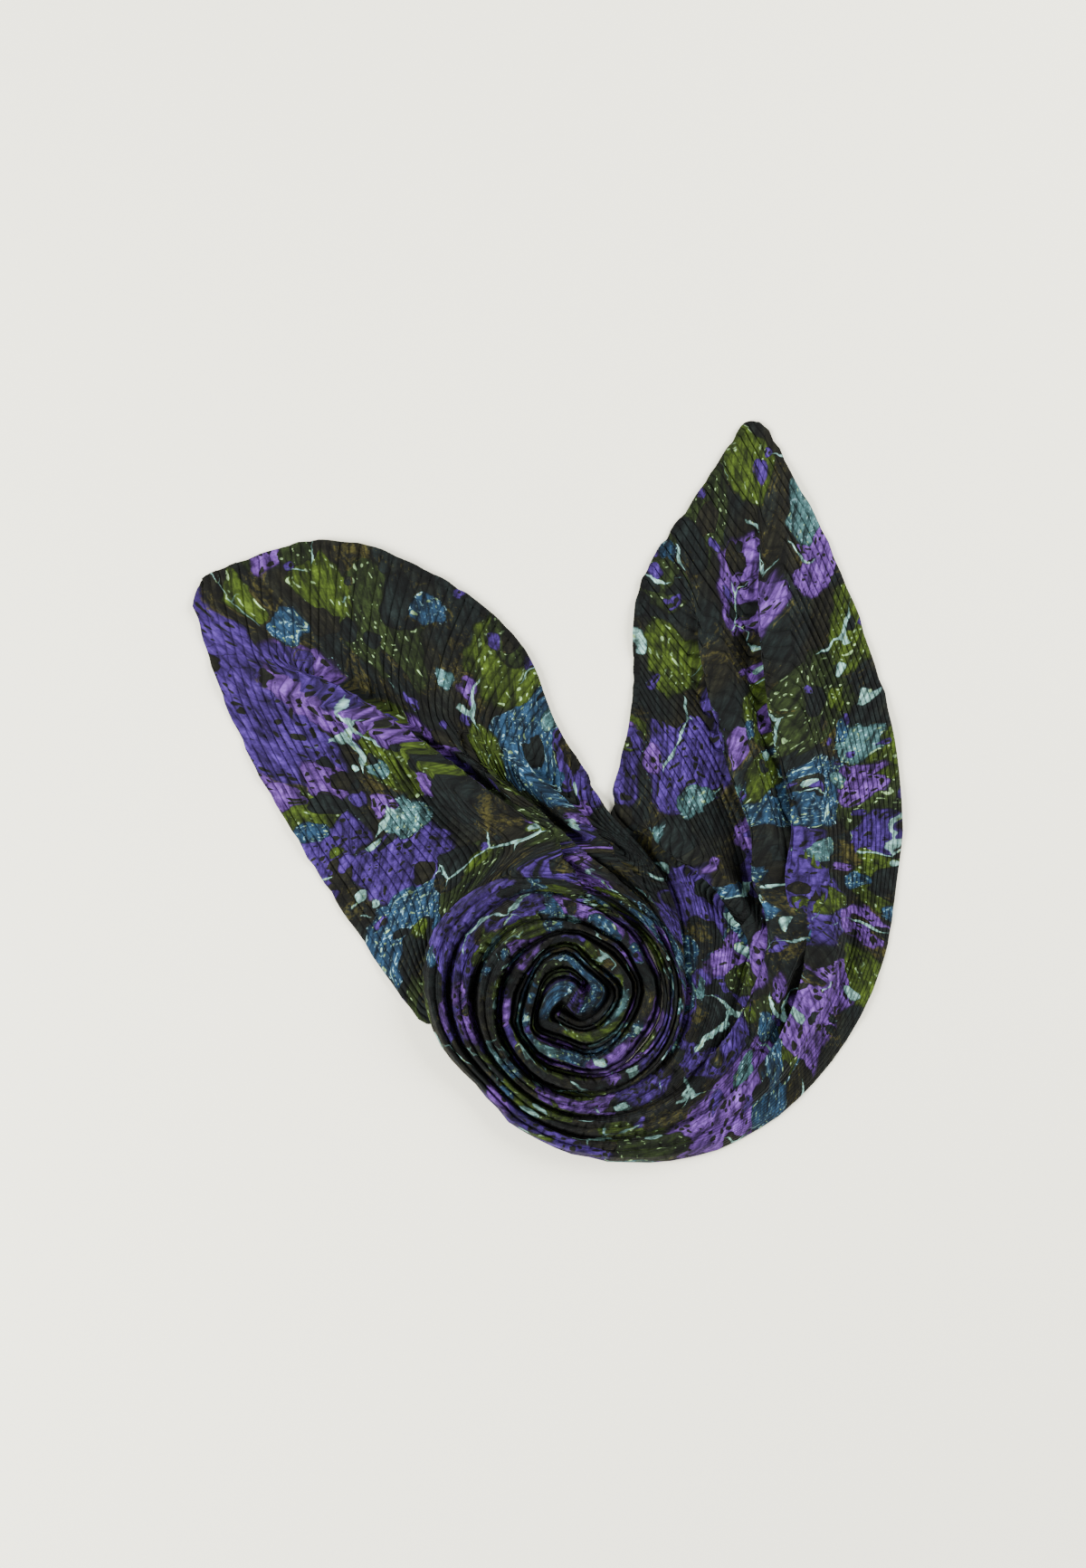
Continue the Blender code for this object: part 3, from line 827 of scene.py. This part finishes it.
    def make(self, arrays: dict[str, Array], finish: "PrintedCloth") -> bpy.types.Object:
        """Give the surface its wall and make the piece.

        Args:
            arrays: what build returned.
            finish: the printed cloth.

        Returns:
            The piece.
        """
        surface = arrays["surface"]
        rows, columns = surface.shape[:2]
        outward = normals(surface)
        if outward[..., 2].mean() < 0.0:
            outward = -outward
        upper = surface + outward * self.wall / 2.0
        lower = surface - outward * self.wall / 2.0
        upper[..., 2] = np.maximum(upper[..., 2], self.least_rise)
        lower[..., 2] = np.maximum(lower[..., 2], 0.0)
        points = np.concatenate([upper.reshape(-1, 3), lower.reshape(-1, 3)])
        faces = np.concatenate([
            grid_faces(rows, columns),
            grid_faces(rows, columns, rows * columns)[:, ::-1],
            rim_faces(rows, columns),
        ])
        places = {f"{name}_place": np.concatenate([arrays[name].reshape(-1, 3)] * 2)
                  for name in ("print", "strip")}
        piece = mesh_object("pleated_cloth", points, faces, places)
        piece.data.materials.append(finish.material())
        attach(piece, "root")
        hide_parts("pleated_panel")
        return piece


@dataclass
class RolledHem:
    """A narrow rolled and stitched hem along one short end of the scarf."""

    name: str
    node: str
    row: int                       # first or last row of the cloth, 0 or -1
    width: float = 0.0050
    thick: float = 0.0018
    gap: float = -0.0014           # below 0 the hem wraps the edge of the cloth
    taper: float = 0.014           # length over which each end grows from its tip
    tip: float = 0.22              # size of the tip as a share of the hem's
    sides: int = 12
    spare: int = 3                 # cloth points at side A that the hem leaves free

    def make(self, arrays: dict[str, Array], finish: "PrintedCloth") -> bpy.types.Object:
        """Carry an oval along the cloth's end.

        The oval's place is the edge, moved outward by half its width and a gap; its points are
        half the width times the cosine outward and half the thickness times the sine upward.

        Args:
            arrays: the cloth's surface, print and strip, as its build returns them.
            finish: the printed cloth.

        Returns:
            The piece.
        """
        edge, printed, strip = (arrays[name][self.row, self.spare:]
                                for name in ("surface", "print", "strip"))
        inner = arrays["surface"][1 if self.row == 0 else -2, self.spare:]
        way = np.gradient(edge, axis=0)
        outward = np.stack([way[:, 1], -way[:, 0], 0.0 * way[:, 0]], axis=1)
        outward = running_mean(outward, 9)
        outward /= np.linalg.norm(outward, axis=1)[:, None]
        if ((edge - inner) * outward).sum() < 0.0:
            outward = -outward
        length = run_lengths(edge)
        taper = ease(np.minimum(length, length[-1] - length) / self.taper)
        taper = self.tip + (1.0 - self.tip) * taper
        angle = np.linspace(0.0, 2.0 * np.pi, self.sides, endpoint=False)
        half = self.width / 2.0 * taper
        middle = edge + outward * (self.gap + half)[:, None]
        middle[:, 2] = np.maximum(middle[:, 2], self.thick / 2.0)
        side = (half[:, None] * np.cos(angle))[..., None]
        ring = middle[:, None, :] + outward[:, None, :] * side
        ring[..., 2] += self.thick / 2.0 * taper[:, None] * np.sin(angle)
        rows = len(ring)
        number = np.arange(rows * self.sides).reshape(rows, self.sides)
        after = np.roll(number, -1, axis=1)
        faces = [np.stack([number[:-1].ravel(), number[1:].ravel(), after[1:].ravel(),
                           after[:-1].ravel()], axis=1)]
        pair = np.arange(0, self.sides, 2)
        for row, centre in ((0, rows * self.sides), (-1, rows * self.sides + 1)):
            cap = [number[row, (pair + k) % self.sides] for k in range(3)]
            cap = np.stack([np.full(len(pair), centre)] + cap, axis=1)
            faces.append(cap if row == 0 else cap[:, ::-1])
        points = np.concatenate([ring.reshape(-1, 3), ring[:1].mean(axis=1),
                                 ring[-1:].mean(axis=1)])
        place = np.repeat(printed[:, None, :], self.sides, axis=1)
        place[..., :2] += outward[:, None, :2] * side
        pleat = np.repeat(strip[:, None, :], self.sides, axis=1)
        pleat[..., 2] = 1.0
        places = {name: np.concatenate([v.reshape(-1, 3), v[0, :1], v[-1, :1]])
                  for name, v in (("print_place", place), ("strip_place", pleat))}
        piece = mesh_object(self.name, points, np.concatenate(faces), places)
        piece.data.materials.append(finish.material())
        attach(piece, "root")
        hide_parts(self.node)
        return piece


@dataclass(frozen=True)
class Blotches:
    """One layer of rounded blotches in the print, with sizes in millimetres."""

    size: float                        # distance between blotches
    shift: tuple[float, float]         # where they start
    least: float                       # smallest radius as a share of the size
    most: float                        # largest radius as a share of the size
    rarity: float                      # share of the places that stay empty
    palette: list[tuple[float, str]]   # share at which each colour begins


@dataclass(frozen=True)
class PrintedCloth:
    """Micro-pleated polyester crepe, woven from fine crimped yarn and printed by heat transfer.

    Crepe scatters light, so it is matt, with a fine uneven grain and soft, slightly bled edges
    where one printed colour meets the next.
    """

    name: str = "printed_polyester_crepe"
    roughness: float = 0.86
    sheen: float = 0.02
    specular: float = 0.12
    violet: str = "57367c"
    deep_violet: str = "372362"
    moss: str = "31400f"
    dark_moss: str = "1c260e"
    green_black: str = "0d1312"
    brown_black: str = "13130b"
    petrol: str = "1c354b"
    grey_teal: str = "3a5a5b"
    mint: str = "7ba59c"
    olive_gold: str = "45411a"
    pale_dot: str = "7f9d6c"
    dark_dot: str = "12140d"
    pale_fleck: str = "7aa2a8"

    def material(self) -> bpy.types.Material:
        """Make the material, or return the one that is there already."""
        found = bpy.data.materials.get(self.name)
        if found is not None:
            return found
        material = bpy.data.materials.new(self.name)
        material.use_nodes = True
        tree = material.node_tree
        shader = tree.nodes["Principled BSDF"]
        for label, value in (("Roughness", self.roughness), ("Sheen Weight", self.sheen),
                             ("Sheen Roughness", 0.5), ("Specular IOR Level", self.specular)):
            shader.inputs[label].default_value = value
        tree.links.new(self.colours(tree), shader.inputs["Base Color"])
        tree.links.new(self.relief(tree), shader.inputs["Normal"])
        return material

    def place(self, tree: Tree) -> Socket:
        """Place on the print in millimetres, shaken by a broad, a middling and a fine noise."""
        plain = vectors(tree, "MULTIPLY", attribute(tree, "print_place"), (1000.0,) * 3)
        result = plain
        # bends of about 50 mm, scallops of about 14 mm and ragged, bled edges of 4 mm and less
        for size, strength, detail in ((52.0, 46.0, 2.0), (14.0, 11.0, 1.0), (4.0, 2.6, 3.0)):
            shake = add_node(tree, "ShaderNodeTexNoise", {
                "Vector": plain, "Scale": 1.0 / size, "Detail": detail})["Color"]
            shake = vectors(tree, "SUBTRACT", shake, (0.5, 0.5, 0.5))
            result = vectors(tree, "ADD", result,
                             vectors(tree, "MULTIPLY", shake, (strength,) * 3))
        return result

    def layers(self) -> tuple[Blotches, ...]:
        """The print's layers of blotches, from the lowest and largest up."""
        return (
            Blotches(80.0, (31.0, 7.0), 0.40, 0.62, 0.10, [
                (0.0, self.violet), (0.28, self.dark_moss), (0.46, self.deep_violet),
                (0.66, self.moss), (0.84, self.petrol)]),
            Blotches(54.0, (0.0, 0.0), 0.30, 0.50, 0.30, [
                (0.0, self.dark_moss), (0.20, self.deep_violet), (0.32, self.moss),
                (0.50, self.green_black), (0.66, self.grey_teal), (0.80, self.violet)]),
            Blotches(31.0, (17.0, 53.0), 0.24, 0.44, 0.50, [
                (0.0, self.green_black), (0.26, self.moss), (0.44, self.violet),
                (0.56, self.brown_black), (0.78, self.petrol), (0.90, self.grey_teal)]),
            Blotches(18.0, (5.0, 19.0), 0.20, 0.38, 0.78, [
                (0.0, self.deep_violet), (0.4, self.green_black), (0.80, self.mint)]),
        )

    def colours(self, tree: Tree) -> Socket:
        """Rounded blotches over a dark ground, with veins, dots, flecks, uneven dye and painted
        shade in the pleats' slits and between gathers.
        """
        place = self.place(tree)
        broad = remap(tree, noise(tree, place, 1.0 / 60.0, 2.0), 0.44, 0.56)
        colour = mixed(tree, broad, linear(self.green_black), linear(self.brown_black))
        for layer in self.layers():
            colour = self.blotches(tree, place, colour, layer)
        colour = self.veins(tree, place, colour)
        colour = self.specks(tree, place, colour)
        return self.dye_and_painted_shade(tree, colour)

    def blotches(self, tree: Tree, place: Socket, under: Socket, layer: Blotches) -> Socket:
        """Lay rounded blotches over a colour.

        Args:
            tree: the material's nodes.
            place: the place on the print in millimetres.
            under: the colour below.
            layer: the blotches.

        Returns:
            The colour.
        """
        moved = vectors(tree, "ADD", place, layer.shift + (0.0,))
        cell = add_node(tree, "ShaderNodeTexVoronoi", {
            "Vector": moved, "Scale": 1.0 / layer.size, "Randomness": 0.9},
            voronoi_dimensions="2D")
        random = add_node(tree, "ShaderNodeSeparateColor", {"Color": cell["Color"]})
        ramp = tree.nodes.new("ShaderNodeValToRGB")
        ramp.color_ramp.interpolation = "CONSTANT"
        while len(ramp.color_ramp.elements) < len(layer.palette):
            ramp.color_ramp.elements.new(0.5)
        for element, (share, shade) in zip(ramp.color_ramp.elements, layer.palette):
            element.position = share
            element.color = linear(shade)
        tree.links.new(random["Red"], ramp.inputs["Fac"])
        radius = maths(tree, "MULTIPLY_ADD", random["Green"], layer.most - layer.least,
                       layer.least)
        depth = maths(tree, "SUBTRACT", radius, cell["Distance"])
        # the edge bleeds over a fortieth of the size
        inside = maths(tree, "MULTIPLY", depth, 1.0 / 0.025, clamp=True)
        present = maths(tree, "GREATER_THAN", random["Blue"], layer.rarity)
        cover = maths(tree, "MULTIPLY", inside, present)
        # lighter in the middle, with a dark outline about a twentieth of the size wide
        middle = remap(tree, depth, 0.0, layer.least, 0.80, 1.15)
        middle = maths(tree, "MULTIPLY", middle, remap(tree, depth, 0.020, 0.055, 0.22, 1.0))
        toned = add_node(tree, "ShaderNodeHueSaturation", {
            "Color": ramp.outputs["Color"], "Value": middle})[0]
        return mixed(tree, cover, under, toned)

    def veins(self, tree: Tree, place: Socket, under: Socket) -> Socket:
        """Thin branching mint veins, in some parts of the print, over a colour."""
        edge = add_node(tree, "ShaderNodeTexVoronoi", {"Vector": place, "Scale": 1.0 / 44.0},
                        feature="DISTANCE_TO_EDGE", voronoi_dimensions="2D")["Distance"]
        where = noise(tree, place, 1.0 / 60.0, 2.0)
        line = maths(tree, "SUBTRACT", remap(tree, where, 0.55, 0.72, 0.0, 0.085), edge)
        cover = maths(tree, "MULTIPLY", line, 60.0, clamp=True)
        return mixed(tree, cover, under, linear(self.mint))

    def specks(self, tree: Tree, place: Socket, under: Socket) -> Socket:
        """Dots and flecks whose colour follows the colour below.

        Violet has dark dots, green pale dots half as wide, the blues fine pale flecks, and some
        parts of the near-black ground olive flecks.

        Args:
            tree: the material's nodes.
            place: the place on the print in millimetres.
            under: the colour below.

        Returns:
            The colour.
        """
        parts = add_node(tree, "ShaderNodeSeparateColor", {"Color": under})
        violet = maths(tree, "GREATER_THAN", parts["Red"], parts["Green"])
        # 0 on the near-black ground and 1 on the printed colours
        lit = maths(tree, "GREATER_THAN", parts["Green"], 0.013)
        # dots 6.4 mm apart, of uneven sizes
        dot = add_node(tree, "ShaderNodeTexVoronoi", {"Vector": place, "Scale": 1.0 / 6.4},
                       voronoi_dimensions="2D")
        random = add_node(tree, "ShaderNodeSeparateColor", {"Color": dot["Color"]})
        radius = remap(tree, random["Red"], 0.15, 0.9, 0.02, 0.42)
        radius = maths(tree, "MULTIPLY", radius,
                       maths(tree, "MULTIPLY_ADD", violet, 0.45, 0.50))
        depth = maths(tree, "SUBTRACT", radius, dot["Distance"])
        cover = maths(tree, "MULTIPLY", depth, 18.0, clamp=True)
        cover = maths(tree, "MULTIPLY", cover, lit)
        shade = mixed(tree, violet, linear(self.pale_dot), linear(self.dark_dot))
        colour = mixed(tree, cover, under, shade)
        # flecks of about 2.6 mm on what is bluer than it is red, but not on violet
        blue = maths(tree, "GREATER_THAN", parts["Blue"],
                     maths(tree, "MULTIPLY", parts["Red"], 1.6))
        fleck = remap(tree, noise(tree, place, 1.0 / 2.6, 2.0), 0.60, 0.68)
        fleck = maths(tree, "MULTIPLY", fleck, blue)
        fleck = maths(tree, "MULTIPLY", fleck, maths(tree, "SUBTRACT", 1.0, violet))
        colour = mixed(tree, fleck, colour, linear(self.pale_fleck))
        # olive flecks of about 3 mm, thick in some parts of the dark ground and absent in others
        rough = noise(tree, place, 1.0 / 3.4, 4.0, roughness=0.7)
        rough = maths(tree, "MULTIPLY_ADD", noise(tree, place, 1.0 / 38.0, 1.0), 0.9, rough)
        rough = remap(tree, rough, 1.06, 1.16, 0.0, 0.55)
        rough = maths(tree, "MULTIPLY", rough, maths(tree, "SUBTRACT", 1.0, lit))
        return mixed(tree, rough, colour, linear(self.olive_gold))

    def dye_and_painted_shade(self, tree: Tree, under: Socket) -> Socket:
        """Darken and lighten a colour by the yarn and uneven dye, and paint shade into the pleats'
        slits and between the gathers.
        """
        read = attribute(tree, "print_place")
        # yarns are about 0.2 mm, drawn at 1.5 mm so that they show at all
        value = remap(tree, noise(tree, read, 1000.0 / 1.5, 2.0), 0.3, 0.7, 0.74, 1.26)
        # brush-like streaks about 4 mm wide and 25 mm long
        drawn = vectors(tree, "MULTIPLY", read, (250.0, 40.0, 1.0))
        factors = (
            # dye that took unevenly, in patches of about 28 mm, in streaks and in 7 mm spots
            remap(tree, noise(tree, read, 1000.0 / 28.0, 3.0), 0.3, 0.7, 0.52, 1.07),
            remap(tree, noise(tree, drawn, 1.0, 3.0, distortion=0.6), 0.36, 0.64, 0.22, 1.30),
            remap(tree, noise(tree, read, 1000.0 / 7.0, 4.0, roughness=0.65),
                  0.36, 0.64, 0.50, 1.45),
            # painted shade: darker in each pleat's slit and between the gathers of the swirl's
            # rolls
            remap(tree, self.pleat(tree), 0.0, 0.30, 0.50, 1.0),
            self.gather(tree, 0.28),
        )
        for factor in factors:
            value = maths(tree, "MULTIPLY", value, factor)
        return add_node(tree, "ShaderNodeHueSaturation", {"Color": under, "Value": value})[0]

    def gather(self, tree: Tree, least: float) -> Socket:
        """Gathers about 6 mm apart, across the rolls of the swirl.

        Args:
            tree: the material's nodes.
            least: the value between two gathers, which in the colour is painted shade.

        Returns:
            The value, which is 1 on a gather and where the cloth lies flat.
        """
        strip = attribute(tree, "strip_place")
        drawn = vectors(tree, "MULTIPLY", strip, (0.08, 1000.0 / 6.0, 0.0))
        value = remap(tree, noise(tree, drawn, 1.0, 0.0), 0.34, 0.57, least, 1.0)
        tall = add_node(tree, "ShaderNodeSeparateXYZ", {0: strip})["Z"]
        tall = maths(tree, "MULTIPLY", tall, 1.4, clamp=True)
        return add_node(tree, "ShaderNodeMix", {"Factor": tall, 2: 1.0, 3: value},
                        data_type="FLOAT")[0]

    def pleat(self, tree: Tree) -> Socket:
        """Height in a pleat: 0 in its slit and 1 in the middle of its flat top."""
        read = attribute(tree, "strip_place")
        number = add_node(tree, "ShaderNodeSeparateXYZ", {0: read})["X"]
        # each slit wanders by up to a fifth of a pleat over about 16 mm
        drawn = vectors(tree, "MULTIPLY", read, (0.7, 1000.0 / 16.0, 0.0))
        wander = maths(tree, "MULTIPLY_ADD", noise(tree, drawn, 1.0, 1.0), 0.4, -0.2)
        half = maths(tree, "PINGPONG", maths(tree, "ADD", number, wander), 0.5)
        return maths(tree, "MULTIPLY", half, 2.0)

    def relief(self, tree: Tree) -> Socket:
        """Normal with the bump of the pleats, of small creases, of the gathers and the yarn."""
        read = attribute(tree, "print_place")
        bumps = (
            # height, distance in metres, strength
            (remap(tree, self.pleat(tree), 0.0, 0.4), 0.0009, 0.6),
            (noise(tree, read, 1000.0 / 9.0, 2.0), 0.0016, 0.6),
            (self.gather(tree, 0.0), 0.0034, 0.9),
            (noise(tree, read, 1000.0 / 1.4, 1.0), 0.0004, 0.5),
        )
        before = {}
        for height, distance, strength in bumps:
            normal = add_node(tree, "ShaderNodeBump", {
                "Height": height, "Distance": distance, "Strength": strength, **before})[0]
            before = {"Normal": normal}
        return normal


@dataclass(frozen=True)
class PaintedFloor:
    """Matt paper-white floor, as a photographer's table top."""

    name: str = "paper_white_floor"
    colour: str = "f7f4e0"

    def material(self) -> bpy.types.Material:
        """Make the floor's material."""
        material = bpy.data.materials.new(self.name)
        material.use_nodes = True
        shader = material.node_tree.nodes["Principled BSDF"]
        shader.inputs["Base Color"].default_value = linear(self.colour)
        shader.inputs["Roughness"].default_value = 0.9
        shader.inputs["Specular IOR Level"].default_value = 0.1
        return material


@dataclass
class Studio:
    """Floor, soft light and the camera straight above."""

    half_floor: float = 4.0
    lens: float = 100.0            # focal length and sensor in millimetres
    sensor: float = 36.0
    centre: tuple[float, float] = (0.0016, -0.0021)   # what the camera is above
    lamp_size: float = 1.6
    key_place: tuple[float, float, float] = (-2.0, -0.5, 1.5)
    key_power: float = 210.0       # watts
    fill_place: tuple[float, float, float] = (1.9, 1.0, 1.4)
    fill_power: float = 170.0
    sky: float = 0.80

    def make(self) -> None:
        """Make the floor, the lamps, the sky light and the camera."""
        signs = ((-1.0, -1.0), (1.0, -1.0), (1.0, 1.0), (-1.0, 1.0))
        corners = [(x * self.half_floor, y * self.half_floor, 0.0) for x, y in signs]
        mesh = bpy.data.meshes.new("studio_floor")
        mesh.from_pydata(corners, [], [(0, 1, 2, 3)])
        mesh.materials.append(PaintedFloor().material())
        floor = bpy.data.objects.new("studio_floor", mesh)
        bpy.context.scene.collection.objects.link(floor)
        self.lamp("key_light", self.key_place, self.key_power)
        self.lamp("fill_light", self.fill_place, self.fill_power)
        world = bpy.data.worlds.new("studio_sky")
        world.use_nodes = True
        background = world.node_tree.nodes["Background"]
        background.inputs["Color"].default_value = (1.0, 1.0, 1.0, 1.0)
        background.inputs["Strength"].default_value = self.sky
        bpy.context.scene.world = world
        camera = bpy.data.cameras.new("camera")
        camera.lens = self.lens
        camera.sensor_width = self.sensor
        camera.clip_end = 20.0
        holder = bpy.data.objects.new("camera", camera)
        height = PICTURE_HEIGHT * PIXEL * self.lens / self.sensor
        holder.location = (self.centre[0], self.centre[1], height)
        bpy.context.scene.collection.objects.link(holder)
        bpy.context.scene.camera = holder

    def lamp(self, name: str, place: tuple[float, float, float], power: float) -> None:
        """Add a square soft lamp that points at the origin.

        Args:
            name: the lamp's name.
            place: where it hangs.
            power: its power in watts.
        """
        light = bpy.data.lights.new(name, "AREA")
        light.size = self.lamp_size
        light.energy = power
        holder = bpy.data.objects.new(name, light)
        holder.location = place
        x, y, z = place
        flat = math.hypot(x, y)
        holder.rotation_euler = (math.atan2(flat, z), 0.0, math.atan2(x, -y))
        bpy.context.scene.collection.objects.link(holder)


def main() -> None:
    """Build the scarf piece by piece, then the studio."""
    logging.basicConfig(level=logging.INFO)
    finish = PrintedCloth()
    panel = PleatedPanel()
    arrays = panel.build()
    cloth = panel.make(arrays, finish)
    LOG.info("%s: %d faces", cloth.name, len(cloth.data.polygons))
    hems = [RolledHem("left_hem", "left_end_hem", 0).make(arrays, finish),
            RolledHem("right_hem", "right_end_hem", -1).make(arrays, finish)]
    for hem in hems:
        LOG.info("%s: %d faces", hem.name, len(hem.data.polygons))
    Studio().make()


if __name__ == "__main__":
    main()
